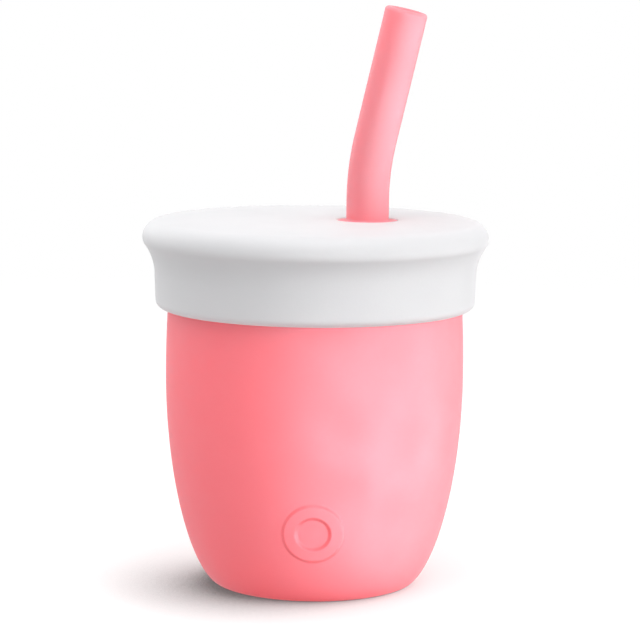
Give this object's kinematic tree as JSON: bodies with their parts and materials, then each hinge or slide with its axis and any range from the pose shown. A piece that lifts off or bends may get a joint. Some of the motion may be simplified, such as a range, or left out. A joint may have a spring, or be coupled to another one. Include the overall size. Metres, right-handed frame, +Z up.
{
  "type": "toddler training cup with straw",
  "caption": "Barrel-shaped soft silicone training cup for a toddler, with a pull-on lid and a bent drinking straw that drops through an off-centre hole in the lid.",
  "frame": {"origin": "centre of the flat foot that the cup stands on", "axes": "+Z up along the cup's axis; the raised ring on the front of the cup faces -Y; +X to the right seen from the front, the side that the straw leans to"},
  "size_m": [0.08, 0.08, 0.1341],
  "materials": {
    "pink_silicone": "satin, moulded",
    "white_silicone": "satin, moulded"
  },
  "bodies": {
    "cup": {"cup": "pink_silicone"},
    "lid": {"lid": "white_silicone"},
    "straw": {"straw": "pink_silicone"}
  },
  "joints": [
    {"name": "lid_lift", "type": "slide", "parent": "cup", "child": "lid", "axis": [0, 0, 1], "range_m": [0, 0.085]},
    {"name": "straw_turn", "type": "hinge", "parent": "lid", "child": "straw", "pos_m": [0.01188, -0.00231, 0.0825], "axis": [0, 0, 1], "continuous": true}
  ]
}
